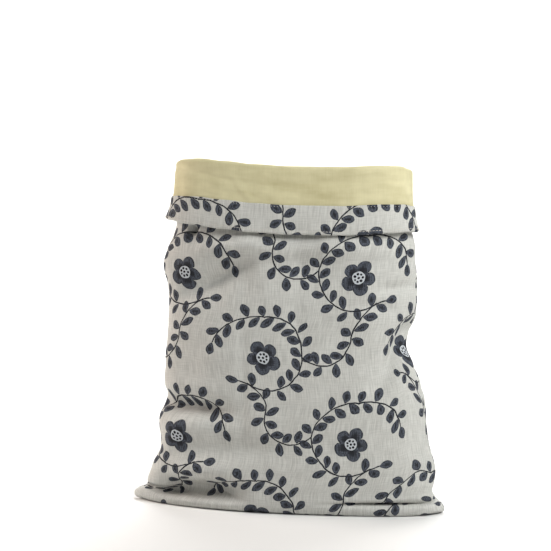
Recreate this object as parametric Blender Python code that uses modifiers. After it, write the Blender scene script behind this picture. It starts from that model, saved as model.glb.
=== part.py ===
"""Lined cloth bread bag, standing open, its mouth turned down once to the outside as a cuff.

Metres, +Z up. The front faces -Y. The origin is on the ground under the middle of the bag.

The outer cloth and the lining are each one sack: a sheet lofted through level rows of cloth, from the bottom
seam over the floor, up the wall, over the fold at the mouth and down the cuff. The outer cloth goes on round
the cuff's lower edge and up again as its hem. Each sack is parted at its seams into a front and a back panel.
"""
import math

import bmesh
import bpy

# Cloth
OUTER_THICK = 0.0012
LINING_THICK = 0.0010
CLOTH_GAP = 0.00040
SEAM_GAP = 0.0004
SEAM_Y = 0.003
SKEW = 0.06

# Mouth, cuff and hem
MOUTH_Z = 0.3295
CUFF_DROP = 0.0640
HEM_RISE = 0.0250
TURN_RADIUS = 0.0017
HEM_RADIUS = (OUTER_THICK + LINING_THICK + 2 * CLOTH_GAP) / 2
LINING_DEPTH = OUTER_THICK / 2 + CLOTH_GAP + LINING_THICK / 2
CUFF_OPENING = 0.0016
FLARE_LEFT = 0.0036
FLARE_RIGHT = 0.0032
LIFT_LEFT = 0.0084
LIFT_RIGHT = 0.0044
LIFT_REACH = 8
FLARE_REACH = 6
LINING_TUCK = 0.0030

# Mesh
COLUMNS = 20
END_EASE = 0.50
ROW_SAMPLES = 240
TURN_STEPS = 6
CUFF_STEPS = 4
HEM_TURN_STEPS = 4
HEM_STEPS = 2

# Rows of the outer cloth from the bottom seam to the mouth: how far the side seams stand from the middle and
# how high they are there, the height in the middle, the depth of the front and of the back, how square the row
# is towards either seam (2 is an ellipse, less is pointed, more is boxed) and how near the seams its height
# starts to change.
ROWS = (
    # left, left_z, right, right_z, middle_z, front, back, left_square, right_square, reach
    (0.1495, 0.0014, 0.1488, 0.0010, 0.0006, 0.0000, 0.0000, 2.00, 2.00, 14),
    (0.1515, 0.0028, 0.1512, 0.0019, 0.0006, 0.0110, 0.0105, 1.70, 2.30, 13),
    (0.1528, 0.0046, 0.1522, 0.0034, 0.0006, 0.0210, 0.0200, 1.62, 2.30, 12),
    (0.1532, 0.0068, 0.1522, 0.0056, 0.0006, 0.0295, 0.0280, 1.60, 2.30, 12),
    (0.1524, 0.0088, 0.1512, 0.0078, 0.0011, 0.0352, 0.0332, 1.60, 2.30, 10),
    (0.1508, 0.0104, 0.1494, 0.0100, 0.0038, 0.0388, 0.0365, 1.62, 2.25, 8),
    (0.1475, 0.0120, 0.1470, 0.0122, 0.0072, 0.0408, 0.0382, 1.66, 2.20, 6),
    (0.1425, 0.0134, 0.1442, 0.0150, 0.0108, 0.0418, 0.0392, 1.72, 2.15, 4),
    (0.1400, 0.0170, 0.1414, 0.0188, 0.0155, 0.0425, 0.0398, 1.82, 2.10, 3),
    (0.1384, 0.0235, 0.1408, 0.0240, 0.0225, 0.0431, 0.0403, 1.92, 2.10, 3),
    (0.1352, 0.0310, 0.1425, 0.0315, 0.0305, 0.0436, 0.0406, 2.02, 2.15, 2),
    (0.1318, 0.0400, 0.1434, 0.0402, 0.0400, 0.0439, 0.0409, 2.15, 2.20, 2),
    (0.1250, 0.0510, 0.1410, 0.0512, 0.0510, 0.0440, 0.0411, 2.28, 2.30, 2),
    (0.1255, 0.0640, 0.1366, 0.0640, 0.0640, 0.0440, 0.0412, 2.30, 2.40, 2),
    (0.1264, 0.0790, 0.1342, 0.0790, 0.0790, 0.0440, 0.0414, 2.35, 2.50, 2),
    (0.1240, 0.0940, 0.1326, 0.0940, 0.0940, 0.0440, 0.0416, 2.35, 2.60, 2),
    (0.1204, 0.1075, 0.1308, 0.1075, 0.1075, 0.0440, 0.0418, 2.35, 2.70, 2),
    (0.1212, 0.1205, 0.1276, 0.1205, 0.1205, 0.0440, 0.0420, 2.38, 2.75, 2),
    (0.1214, 0.1335, 0.1230, 0.1335, 0.1335, 0.0440, 0.0420, 2.40, 2.80, 2),
    (0.1212, 0.1470, 0.1178, 0.1470, 0.1470, 0.0440, 0.0420, 2.40, 2.85, 2),
    (0.1204, 0.1600, 0.1134, 0.1600, 0.1600, 0.0438, 0.0420, 2.42, 2.90, 2),
    (0.1204, 0.1730, 0.1142, 0.1730, 0.1730, 0.0436, 0.0420, 2.45, 2.95, 2),
    (0.1198, 0.1870, 0.1196, 0.1870, 0.1870, 0.0434, 0.0418, 2.45, 3.00, 2),
    (0.1198, 0.2020, 0.1208, 0.2020, 0.2020, 0.0432, 0.0416, 2.45, 3.05, 2),
    (0.1212, 0.2180, 0.1204, 0.2180, 0.2180, 0.0430, 0.0414, 2.45, 3.10, 2),
    (0.1240, 0.2325, 0.1204, 0.2325, 0.2325, 0.0428, 0.0412, 2.45, 3.15, 2),
    (0.1204, 0.2460, 0.1184, 0.2460, 0.2460, 0.0424, 0.0410, 2.50, 3.20, 2),
    (0.1150, 0.2600, 0.1180, 0.2600, 0.2600, 0.0416, 0.0406, 2.60, 3.25, 2),
    (0.1122, 0.2740, 0.1146, 0.2740, 0.2740, 0.0408, 0.0402, 2.75, 3.30, 2),
    (0.1105, 0.2900, 0.1118, 0.2900, 0.2900, 0.0402, 0.0398, 2.85, 3.35, 2),
    (0.1095, 0.3060, 0.1103, 0.3060, 0.3060, 0.0400, 0.0396, 2.95, 3.40, 2),
)
TOP_LEFT = 0.1090
TOP_RIGHT = 0.1098
TOP_FRONT = 0.0400
TOP_BACK = 0.0396
TOP_LEFT_SQUARE = 3.05
TOP_RIGHT_SQUARE = 3.40

# Unevenness of the mouth: how far the rim is above MOUTH_Z, from the left end (-1) to the right end (1).
RIM = (
    # across, rise
    (-1.00, 0.0042),
    (-0.93, 0.0060),
    (-0.78, 0.0066),
    (-0.55, 0.0042),
    (-0.30, 0.0016),
    (0.00, 0.0000),
    (0.45, 0.0000),
    (0.80, 0.0020),
    (0.94, 0.0018),
    (1.00, -0.0002),
)
RIM_FADE = (0.230, 0.310)

# Folds in the wall. Each is a soft trough, or a ridge where its depth is negative: the face that it is on
# (-1 front, 1 back), its middle, half its length and half its height, its tilt in degrees and its depth.
FOLDS = (
    # face, x, z, length, height, tilt, depth
    (-1, -0.064, 0.223, 0.040, 0.0115, 26, 0.0090),
    (-1, -0.026, 0.248, 0.022, 0.0160, 30, -0.0018),
    (-1, -0.090, 0.119, 0.034, 0.0100, -3, -0.0026),
    (-1, -0.088, 0.0985, 0.034, 0.0095, -3, 0.0120),
    (-1, -0.092, 0.080, 0.028, 0.0120, 4, -0.0036),
    (-1, -0.045, 0.061, 0.050, 0.0130, 3, 0.0050),
    (-1, -0.082, 0.041, 0.034, 0.0090, 0, -0.0040),
    (-1, -0.114, 0.058, 0.026, 0.0080, 62, -0.0030),
    (-1, -0.126, 0.0118, 0.026, 0.0036, 0, 0.0040),
    (-1, 0.104, 0.217, 0.017, 0.0070, 6, 0.0034),
    (-1, 0.088, 0.199, 0.017, 0.0070, -8, 0.0028),
    (-1, 0.086, 0.172, 0.022, 0.0200, 0, -0.0020),
    (-1, 0.1075, 0.164, 0.026, 0.0085, 64, 0.0062),
    (-1, 0.096, 0.131, 0.018, 0.0085, 50, 0.0040),
    (-1, 0.110, 0.134, 0.022, 0.0110, 62, -0.0030),
    (-1, 0.110, 0.0108, 0.046, 0.0036, 0, 0.0058),
    (1, -0.088, 0.118, 0.036, 0.013, 8, 0.0052),
    (1, 0.086, 0.156, 0.036, 0.013, -12, 0.0056),
    (1, 0.030, 0.062, 0.050, 0.014, 6, 0.0036),
    (1, -0.070, 0.226, 0.034, 0.012, -8, 0.0030),
    (1, 0.104, 0.0112, 0.036, 0.0036, 0, 0.0042),
    (1, -0.108, 0.0112, 0.034, 0.0036, 0, 0.0042),
)

# Tucks, where the wall leans in under a bulge and comes out again over the roll at the floor: the face, the middle,
# half the length, the heights at which it starts to lean in, is deepest and is out again, and the depth.
TUCKS = (
    # face, x, length, top_z, deep_z, out_z, depth
    (-1, -0.086, 0.034, 0.0370, 0.0140, 0.0065, 0.0140),
)

# Finish: colour, roughness
OUTER_FINISH = ((0.510, 0.498, 0.454, 1.0), 0.92)
LINING_FINISH = ((0.615, 0.555, 0.315, 1.0), 0.82)


def clear_scene():
    """Removes whatever the open file holds."""
    for thing in list(bpy.data.objects):
        bpy.data.objects.remove(thing, do_unlink=True)


def soft_step(low, high, value):
    """0 below low and 1 above high, with a smooth rise between."""
    t = min(1.0, max(0.0, (value - low) / (high - low)))
    return t * t * (3 - 2 * t)


def rim_rise(place):
    """How far the mouth's edge is above MOUTH_Z at this place across the bag."""
    for (x0, rise0), (x1, rise1) in zip(RIM, RIM[1:]):
        if place <= x1:
            return rise0 + (rise1 - rise0) * soft_step(x0, x1, place)
    return RIM[-1][1]


def level_outline(left, right, front, back, left_square, right_square):
    """The row's outline seen from above: COLUMNS steps of cloth along the front, then as many along the back."""
    half = (left + right) / 2
    middle = (right - left) / 2
    outline = []
    for face, depth in ((-1, front), (1, back)):
        dense = []
        for i in range(ROW_SAMPLES + 1):
            turn = math.pi * i / ROW_SAMPLES
            square = left_square + (right_square - left_square) * (1 - math.cos(turn)) / 2
            run = -math.copysign(abs(math.cos(turn)) ** (2 / square), math.cos(turn))
            bow = abs(math.sin(turn)) ** (2 / square) * (1 - SKEW * run)
            dense.append((middle + half * run, face * depth * bow))
        walked = [0.0]
        for (x0, y0), (x1, y1) in zip(dense, dense[1:]):
            walked.append(walked[-1] + math.hypot(x1 - x0, y1 - y0))
        side = []
        at = 0
        for k in range(COLUMNS + 1):
            even = k / COLUMNS
            eased = (1 - math.cos(math.pi * even)) / 2
            goal = walked[-1] * (even * (1 - END_EASE) + eased * END_EASE)
            while at < ROW_SAMPLES - 1 and walked[at + 1] < goal:
                at += 1
            share = (goal - walked[at]) / (walked[at + 1] - walked[at])
            (x0, y0), (x1, y1) = dense[at], dense[at + 1]
            side.append((x0 + (x1 - x0) * share, y0 + (y1 - y0) * share))
        outline += side[:-1] if face < 0 else side[:0:-1]
    return outline


def pushed_out(outline, distances):
    """The outline moved level and square to itself, by each point's own distance."""
    count = len(outline)
    moved = []
    for k, (x, y) in enumerate(outline):
        (x0, y0), (x1, y1) = outline[k - 1], outline[(k + 1) % count]
        run = math.hypot(x1 - x0, y1 - y0)
        out_x, out_y = (y1 - y0) / run, -(x1 - x0) / run
        moved.append((x + out_x * distances[k], y + out_y * distances[k]))
    return moved


def across(x, left, right):
    """Where x lies between the side seams: -1 at the left one, 1 at the right one."""
    return max(-1.0, min(1.0, (2 * x + left - right) / (left + right)))


def fold_depth(face, x, z):
    """How deep the folds and tucks push the wall in at this place."""
    depth = 0.0
    for fold_face, fold_x, fold_z, length, height, tilt, fold in FOLDS:
        if fold_face != face:
            continue
        turn = math.radians(tilt)
        along = (x - fold_x) * math.cos(turn) + (z - fold_z) * math.sin(turn)
        over = (z - fold_z) * math.cos(turn) - (x - fold_x) * math.sin(turn)
        depth += fold * math.exp(-(abs(along / length) ** 3) - (over / height) ** 2)
    for tuck_face, tuck_x, length, top_z, deep_z, out_z, tuck in TUCKS:
        if tuck_face != face:
            continue
        lean = min(soft_step(-top_z, -deep_z, -z), soft_step(out_z, deep_z, z))
        depth += tuck * lean * math.exp(-(((x - tuck_x) / length) ** 4))
    return depth


def wall_rows():
    """Rows of points from the bottom seam to just under the fold at the mouth."""
    rows = []
    for left, left_z, right, right_z, middle_z, front, back, *squares, reach in ROWS:
        outline = level_outline(left, right, front, back, *squares)
        heights = []
        for x, _ in outline:
            place = across(x, left, right)
            side_z = left_z if place < 0 else right_z
            z = middle_z + (side_z - middle_z) * abs(place) ** reach
            heights.append(z + rim_rise(place) * soft_step(*RIM_FADE, z))
        inward = []
        for k, (x, _) in enumerate(outline):
            face = -1 if k <= COLUMNS else 1
            at_seam = k % COLUMNS == 0
            inward.append(0.0 if at_seam or front == 0.0 else -fold_depth(face, x, heights[k]))
        shaped = outline if front == 0.0 else pushed_out(outline, inward)
        rows.append([(x, y + SEAM_Y, z) for (x, y), z in zip(shaped, heights)])
    return rows


def cuff_rows(steps):
    """Rows over the mouth's fold and beyond, each from a list of (distance out, height, share of the drop)."""
    outline = level_outline(TOP_LEFT, TOP_RIGHT, TOP_FRONT, TOP_BACK, TOP_LEFT_SQUARE, TOP_RIGHT_SQUARE)
    places = [across(x, TOP_LEFT, TOP_RIGHT) for x, _ in outline]
    rows = []
    for out, height, share in steps:
        distances = []
        heights = []
        for place in places:
            flare = FLARE_LEFT if place < 0 else FLARE_RIGHT
            lift = LIFT_LEFT if place < 0 else LIFT_RIGHT
            distances.append(out + share * (CUFF_OPENING + flare * abs(place) ** FLARE_REACH))
            heights.append(height + rim_rise(place) + share * lift * abs(place) ** LIFT_REACH)
        rows.append([(x, y + SEAM_Y, z) for (x, y), z in zip(pushed_out(outline, distances), heights)])
    return rows


def turn_steps(centre_out, centre_z, radius, start, count, share):
    """Half a turn about a level line: from its inner side over the top (start 0) or under it (start 180)."""
    steps = []
    for i in range(count + 1):
        turned = math.pi * i / count
        out = centre_out - radius * math.cos(turned)
        rise = radius * math.sin(turned + math.radians(start))
        steps.append((out, centre_z + rise, share))
    return steps


def cloth_rows(with_hem):
    """All rows of a sack: the outer cloth's with its hem, or the lining's, which ends under the hem."""
    fold_z = MOUTH_Z - TURN_RADIUS - LINING_DEPTH - LINING_THICK / 2
    low_z = MOUTH_Z - CUFF_DROP + HEM_RADIUS + OUTER_THICK / 2
    cuff_out = 2 * TURN_RADIUS
    steps = turn_steps(TURN_RADIUS, fold_z, TURN_RADIUS, 0, TURN_STEPS, 0.0)
    last_z = low_z if with_hem else low_z + LINING_TUCK
    for i in range(1, CUFF_STEPS + 1):
        z = fold_z + (last_z - fold_z) * i / CUFF_STEPS
        steps.append((cuff_out, z, (fold_z - z) / (fold_z - low_z)))
    if with_hem:
        steps += turn_steps(cuff_out + HEM_RADIUS, low_z, HEM_RADIUS, 180, HEM_TURN_STEPS, 1.0)[1:]
        hem_out = cuff_out + 2 * HEM_RADIUS
        for i in range(1, HEM_STEPS + 1):
            z = low_z + HEM_RISE * i / HEM_STEPS
            steps.append((hem_out, z, (fold_z - z) / (fold_z - low_z)))
    return wall_rows() + cuff_rows(steps)


def sack_mesh(name, rows):
    """An open sheet through the rows, closed along the bottom seam, with its faces pointing out of the bag."""
    ring = 2 * COLUMNS
    mesh_data = bmesh.new()
    grid = []
    for r, row in enumerate(rows):
        if r == 0:
            seam = [mesh_data.verts.new(row[k]) for k in range(COLUMNS + 1)]
            grid.append([seam[k if k <= COLUMNS else ring - k] for k in range(ring)])
        else:
            grid.append([mesh_data.verts.new(point) for point in row])
    for low, high in zip(grid, grid[1:]):
        for k in range(ring):
            after = (k + 1) % ring
            mesh_data.faces.new((low[k], low[after], high[after], high[k]))
    mesh = bpy.data.meshes.new(name)
    mesh_data.to_mesh(mesh)
    mesh_data.free()
    mesh.shade_smooth()
    return mesh


def cloth_material(name, finish):
    """A matt cloth of one colour."""
    colour, roughness = finish
    material = bpy.data.materials.new(name)
    material.use_nodes = True
    shader = material.node_tree.nodes["Principled BSDF"]
    shader.inputs["Base Color"].default_value = colour
    shader.inputs["Roughness"].default_value = roughness
    shader.inputs["Metallic"].default_value = 0.0
    material.diffuse_color = colour
    return material


def half_space(name, face, collection):
    """A box that holds all of one side of the seams: the front (-1) or the back (1)."""
    width, depth, height = 0.40, 0.20, 0.40
    middle_z = 0.17
    bpy.ops.mesh.primitive_cube_add(size=1.0)
    box = bpy.context.object
    box.name = name
    box.dimensions = (width, depth, height)
    box.location = (0.0, SEAM_Y + face * (depth + SEAM_GAP) / 2, middle_z)
    box.display_type = "WIRE"
    box.hide_render = True
    for other in list(box.users_collection):
        other.objects.unlink(box)
    collection.objects.link(box)
    return box


def panel(name, mesh, material, thickness, offset, half, collection):
    """One cut panel: the sack's sheet given its thickness, then parted at the seams."""
    piece = bpy.data.objects.new(name, mesh)
    piece.data.materials.clear()
    piece.data.materials.append(material)
    collection.objects.link(piece)
    split = piece.modifiers.new("split", "TRIANGULATE")
    split.quad_method = "FIXED"
    cloth = piece.modifiers.new("cloth", "SOLIDIFY")
    cloth.thickness = thickness
    cloth.offset = offset
    cloth.use_even_offset = True
    cloth.use_quality_normals = True
    seam = piece.modifiers.new("seam", "BOOLEAN")
    seam.operation = "INTERSECT"
    seam.solver = "EXACT"
    seam.object = half
    return piece


def new_collection(name):
    """An empty collection in the scene."""
    collection = bpy.data.collections.new(name)
    bpy.context.scene.collection.children.link(collection)
    return collection


clear_scene()
bag = new_collection("bread_bag")
cutters = new_collection("cutters")
front_half = half_space("front_half", -1, cutters)
back_half = half_space("back_half", 1, cutters)

outer_sack = sack_mesh("outer_sack", cloth_rows(with_hem=True))
outer_cloth = cloth_material("outer_cloth", OUTER_FINISH)
panel("front_panel", outer_sack, outer_cloth, OUTER_THICK, 0.0, front_half, bag)
panel("back_panel", outer_sack, outer_cloth, OUTER_THICK, 0.0, back_half, bag)

lining_sack = sack_mesh("lining_sack", cloth_rows(with_hem=False))
lining_cloth = cloth_material("lining_cloth", LINING_FINISH)
lining_offset = -2 * LINING_DEPTH / LINING_THICK
panel("lining_front", lining_sack, lining_cloth, LINING_THICK, lining_offset, front_half, bag)
panel("lining_back", lining_sack, lining_cloth, LINING_THICK, lining_offset, back_half, bag)
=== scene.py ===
"""Looks of a lined cloth bread bag that stands open, its mouth turned down once to the outside as a cuff.

Metres, +Z up, the front facing -Y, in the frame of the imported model.
"""

import math

import bpy
import numpy as np
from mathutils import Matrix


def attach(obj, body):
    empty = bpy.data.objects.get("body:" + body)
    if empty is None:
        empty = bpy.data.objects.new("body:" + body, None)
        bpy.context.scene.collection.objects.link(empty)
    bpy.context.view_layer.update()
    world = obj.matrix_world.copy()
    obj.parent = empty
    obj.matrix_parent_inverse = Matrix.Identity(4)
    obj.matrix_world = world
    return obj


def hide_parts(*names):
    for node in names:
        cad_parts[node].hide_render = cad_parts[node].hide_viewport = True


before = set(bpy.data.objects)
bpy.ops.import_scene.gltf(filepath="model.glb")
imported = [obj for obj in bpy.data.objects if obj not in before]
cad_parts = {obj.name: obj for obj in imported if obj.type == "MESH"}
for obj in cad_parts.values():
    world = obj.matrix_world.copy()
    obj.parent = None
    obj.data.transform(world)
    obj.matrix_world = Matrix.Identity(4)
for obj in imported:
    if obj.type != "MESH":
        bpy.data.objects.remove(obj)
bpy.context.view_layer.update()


# Outer cloth.
# Two panels of printed linen, sewn together down both sides and along the bottom. Each runs from the
# bottom seam up the wall, over the mouth, down inside the cuff and up again as the hem.

# The cloths' thicknesses and the air between them, where the side seams lie from front to back and the air
# in them, and how much deeper the bag is on the left than on the right.
OUTER_THICK = 0.0012
LINING_THICK = 0.0010
CLOTH_GAP = 0.00035
SEAM_Y = 0.003
SEAM_GAP = 0.0003
SKEW = 0.06

# The fold at the mouth, the cuff that hangs from it and the hem that is turned up over the cuff. The cuff
# waves a little, and at its ends it flares out and lifts. The lining's edge lies under the hem, and the
# stitches there sink into the cloth. Last, the flat panel's width, and its length as far as the mouth.
MOUTH_Z = 0.3295
CUFF_DROP = 0.0640
HEM_RISE = 0.0250
TURN_RADIUS = 0.0017
HEM_RADIUS = (OUTER_THICK + LINING_THICK + 2 * CLOTH_GAP) / 2
LINING_DEPTH = OUTER_THICK / 2 + CLOTH_GAP + LINING_THICK / 2
CUFF_OPENING = 0.0016
CUFF_WAVES = (
    # length, height
    (0.090, 0.0006),
    (0.030, 0.0003),
)
CUFF_WAVE_TURN, CUFF_SEED = 0.5, 21
FLARE_LEFT, FLARE_RIGHT, FLARE_REACH = 0.0052, 0.0044, 9
LIFT_LEFT, LIFT_RIGHT, LIFT_REACH = 0.0086, 0.0044, 9
LINING_TUCK = 0.0030
STITCH_RISE = 0.0034
STITCH_SINK, STITCH_REACH = 0.00030, 0.0011
CUT_WIDTH = 0.300
CUT_TO_MOUTH = 0.366

# Level rows of the cloth from the bottom seam to the mouth: how far the side seams stand from the middle
# and how high they are there, the height in the middle, the depth of the front and of the back, how square
# the row is towards either seam (2 is an ellipse) and how near the seams its height starts to change.
ROWS = (
    # left, left_z, right, right_z, middle_z, front, back, left_square, right_square, reach
    (0.1495, 0.0014, 0.1488, 0.0010, 0.0006, 0.0000, 0.0000, 2.00, 2.00, 14),
    (0.1515, 0.0028, 0.1512, 0.0019, 0.0006, 0.0110, 0.0105, 1.70, 2.30, 13),
    (0.1528, 0.0046, 0.1522, 0.0034, 0.0006, 0.0210, 0.0200, 1.62, 2.30, 12),
    (0.1532, 0.0068, 0.1522, 0.0056, 0.0006, 0.0295, 0.0280, 1.60, 2.30, 12),
    (0.1524, 0.0088, 0.1512, 0.0078, 0.0011, 0.0352, 0.0332, 1.60, 2.30, 10),
    (0.1508, 0.0104, 0.1494, 0.0100, 0.0038, 0.0388, 0.0365, 1.62, 2.25, 8),
    (0.1475, 0.0120, 0.1470, 0.0122, 0.0072, 0.0408, 0.0382, 1.66, 2.20, 6),
    (0.1425, 0.0134, 0.1442, 0.0150, 0.0108, 0.0418, 0.0392, 1.72, 2.15, 4),
    (0.1400, 0.0170, 0.1414, 0.0188, 0.0155, 0.0425, 0.0398, 1.82, 2.10, 3),
    (0.1384, 0.0235, 0.1408, 0.0240, 0.0225, 0.0431, 0.0403, 1.92, 2.10, 3),
    (0.1352, 0.0310, 0.1425, 0.0315, 0.0305, 0.0436, 0.0406, 2.02, 2.15, 2),
    (0.1318, 0.0400, 0.1434, 0.0402, 0.0400, 0.0439, 0.0409, 2.15, 2.20, 2),
    (0.1250, 0.0510, 0.1410, 0.0512, 0.0510, 0.0440, 0.0411, 2.28, 2.30, 2),
    (0.1255, 0.0640, 0.1366, 0.0640, 0.0640, 0.0440, 0.0412, 2.30, 2.40, 2),
    (0.1264, 0.0790, 0.1342, 0.0790, 0.0790, 0.0440, 0.0414, 2.35, 2.50, 2),
    (0.1240, 0.0940, 0.1326, 0.0940, 0.0940, 0.0440, 0.0416, 2.35, 2.60, 2),
    (0.1204, 0.1075, 0.1308, 0.1075, 0.1075, 0.0440, 0.0418, 2.35, 2.70, 2),
    (0.1212, 0.1205, 0.1276, 0.1205, 0.1205, 0.0440, 0.0420, 2.38, 2.75, 2),
    (0.1214, 0.1335, 0.1230, 0.1335, 0.1335, 0.0440, 0.0420, 2.40, 2.80, 2),
    (0.1212, 0.1470, 0.1178, 0.1470, 0.1470, 0.0440, 0.0420, 2.40, 2.85, 2),
    (0.1204, 0.1600, 0.1134, 0.1600, 0.1600, 0.0438, 0.0420, 2.42, 2.90, 2),
    (0.1204, 0.1730, 0.1142, 0.1730, 0.1730, 0.0436, 0.0420, 2.45, 2.95, 2),
    (0.1198, 0.1870, 0.1196, 0.1870, 0.1870, 0.0434, 0.0418, 2.45, 3.00, 2),
    (0.1198, 0.2020, 0.1208, 0.2020, 0.2020, 0.0432, 0.0416, 2.45, 3.05, 2),
    (0.1212, 0.2180, 0.1204, 0.2180, 0.2180, 0.0430, 0.0414, 2.45, 3.10, 2),
    (0.1240, 0.2325, 0.1204, 0.2325, 0.2325, 0.0428, 0.0412, 2.45, 3.15, 2),
    (0.1204, 0.2460, 0.1184, 0.2460, 0.2460, 0.0424, 0.0410, 2.50, 3.20, 2),
    (0.1150, 0.2600, 0.1180, 0.2600, 0.2600, 0.0416, 0.0406, 2.60, 3.25, 2),
    (0.1122, 0.2740, 0.1146, 0.2740, 0.2740, 0.0408, 0.0402, 2.65, 3.30, 2),
    (0.1105, 0.2900, 0.1118, 0.2900, 0.2900, 0.0402, 0.0398, 2.70, 3.35, 2),
    (0.1095, 0.3060, 0.1103, 0.3060, 0.3060, 0.0400, 0.0396, 2.72, 3.40, 2),
)

# The same for the level row that the fold at the mouth and the cuff are drawn from.
TOP = (
    # left, right, front, back, left_square, right_square
    0.1090, 0.1098, 0.0400, 0.0396, 2.75, 3.40,
)

# Unevenness of the mouth: how far the rim is above MOUTH_Z, from the left end (-1) to the right end (1), and
# the heights between which the wall takes it up.
RIM = (
    # across, rise
    (-1.00, 0.0042),
    (-0.93, 0.0060),
    (-0.78, 0.0066),
    (-0.55, 0.0042),
    (-0.30, 0.0016),
    (0.00, 0.0000),
    (0.45, 0.0000),
    (0.80, 0.0020),
    (0.94, 0.0018),
    (1.00, -0.0002),
)
RIM_FADE = (0.230, 0.310)

# Folds and creases in the wall. Each is a soft trough, or a ridge where its depth is negative: its face
# (-1 front, 1 back), its middle, half its length and half its height, its tilt in degrees and its depth.
FOLDS = (
    # face, x, z, length, height, tilt, depth
    (-1, -0.066, 0.2240, 0.038, 0.0088, 28, 0.0090),
    (-1, -0.064, 0.2170, 0.042, 0.0190, 28, 0.0055),
    (-1, -0.026, 0.248, 0.022, 0.016, 30, -0.0018),
    (-1, -0.0902, 0.2692, 0.0034, 0.0048, 0, 0.0080),
    (-1, -0.0990, 0.2610, 0.0080, 0.0075, 0, -0.0022),
    (-1, -0.056, 0.2525, 0.034, 0.0062, 10, -0.0032),
    (-1, -0.090, 0.119, 0.034, 0.009, -3, -0.0026),
    (-1, -0.090, 0.0985, 0.036, 0.0080, -3, 0.0160),
    (-1, -0.092, 0.080, 0.028, 0.012, 4, -0.0036),
    (-1, -0.045, 0.061, 0.050, 0.013, 3, 0.0066),
    (-1, -0.082, 0.041, 0.034, 0.009, 0, -0.0040),
    (-1, -0.114, 0.058, 0.026, 0.007, 62, -0.0030),
    (-1, -0.039, 0.130, 0.085, 0.0055, 90, 0.0012),
    (-1, 0.012, 0.215, 0.045, 0.0060, 88, 0.0008),
    (-1, 0.004, 0.2535, 0.106, 0.0100, 0, -0.0054),
    (-1, 0.104, 0.217, 0.017, 0.0060, 6, 0.0044),
    (-1, 0.088, 0.199, 0.017, 0.0055, -8, 0.0028),
    (-1, 0.086, 0.172, 0.022, 0.020, 0, -0.0030),
    (-1, 0.1080, 0.162, 0.026, 0.0100, 64, 0.0040),
    (-1, 0.0960, 0.131, 0.018, 0.0070, 50, 0.0042),
    (-1, 0.110, 0.134, 0.022, 0.011, 62, -0.0030),
    (-1, 0.128, 0.042, 0.012, 0.0060, 20, 0.0026),
    (1, -0.088, 0.118, 0.036, 0.013, 8, 0.0052),
    (1, 0.086, 0.156, 0.036, 0.013, -12, 0.0056),
    (1, 0.030, 0.062, 0.050, 0.014, 6, 0.0036),
    (1, -0.070, 0.226, 0.034, 0.012, -8, 0.0030),
    (1, 0.104, 0.0112, 0.036, 0.0036, 0, 0.0042),
    (1, -0.108, 0.0112, 0.034, 0.0036, 0, 0.0042),
)

# Shallow creases in the turned-down cuff, the same way.
CUFF_FOLDS = (
    # face, x, z, length, height, tilt, depth
    (-1, -0.083, 0.3225, 0.034, 0.0034, -13, 0.0013),
    (-1, -0.041, 0.3060, 0.014, 0.0032, -50, -0.0009),
    (-1, -0.1015, 0.3080, 0.026, 0.0036, 88, 0.0010),
    (-1, 0.020, 0.3130, 0.050, 0.0050, 3, 0.0007),
    (-1, 0.0995, 0.3110, 0.020, 0.0030, 80, 0.0008),
    (-1, 0.1070, 0.3000, 0.030, 0.0018, 89, 0.0012),
    (1, 0.052, 0.3100, 0.040, 0.0050, -9, 0.0011),
    (1, -0.060, 0.3020, 0.030, 0.0045, 12, 0.0009),
)

# Tucks, where the wall leans in under a bulge and comes out again over the roll at the floor: the face, the
# middle, half the length, the heights between which it leans in and comes out again, and the depth.
TUCKS = (
    # face, x, length, in_from, in_to, out_from, out_to, depth
    (-1, -0.083, 0.038, 0.0360, 0.0180, 0.0125, 0.0060, 0.0200),
)

# Sharp creases that take up some of the print too: in the waist on the right and over the roll at each ear.
CREASES = (
    # face, x, z, length, height, tilt, depth
    (-1, 0.1070, 0.166, 0.027, 0.0042, 64, 0.0068),
    (-1, 0.104, 0.0125, 0.048, 0.0022, 1, 0.0090),
    (-1, -0.131, 0.0150, 0.022, 0.0022, -7, 0.0078),
)

# The heights over which folds, tucks and creases set in above the floor, and over which they fade out.
FOLDS_FROM, FOLDS_TO = (0.002, 0.011), (0.296, 0.312)

# How the cloth's length from seam to seam is stepped: fine beside the seams and even between.
SEAM_STEPS = (0.0, 0.0018, 0.0042, 0.0080)
EVEN_FROM, EVEN_COLUMNS = 0.014, 128
SIDE_SHARES = np.concatenate((
    SEAM_STEPS,
    np.linspace(EVEN_FROM, 1 - EVEN_FROM, EVEN_COLUMNS),
    1 - np.array(SEAM_STEPS[::-1]),
))
COLUMNS = len(SIDE_SHARES) - 1

# The steps from row to row up the cloth. They are finer in the roll at the floor, which is below one height
# and where the front is deeper than this, and in the hem, which has its own last rows.
ROW_STEP, LOW_ROW_STEP = 0.0020, 0.0010
LOW_ROWS, LOW_ROWS_FRONT = 0.025, 0.03
HEM_STEP = 0.0011
TURN_STEPS = 12
HEM_EDGE = (
    # under the edge, in towards the lining
    (0.0014, 0.00000),
    (0.0007, 0.00008),
    (0.0002, 0.00022),
    (0.0000, 0.00040),
)
OUTLINE_SAMPLES = 720
SHORTEST = 1e-12

# Small unevenness of the wall. Each is a sum of waves in all directions, with lengths that vary this much.
WALL_WAVES = (
    # length, height
    (0.085, 0.0009),
    (0.034, 0.00040),
    (0.015, 0.00012),
)
FRONT_SEED, BACK_SEED = 31, 41
WAVES_IN_NOISE = 14
WAVE_SPREAD = (0.7, 1.6)

# The side seams: how deep they sink and over what reach, the strip that the folds keep off, and the pucker
# beside them: its height, length and reach, and how much it turns with the cloth.
SEAM_SINK = (0.0016, 0.0024)
SEAM_STRIP = 0.006
PUCKER = (0.00035, 0.0105, 0.012)
PUCKER_TURN, PUCKER_SEED = 0.2, 51


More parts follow.
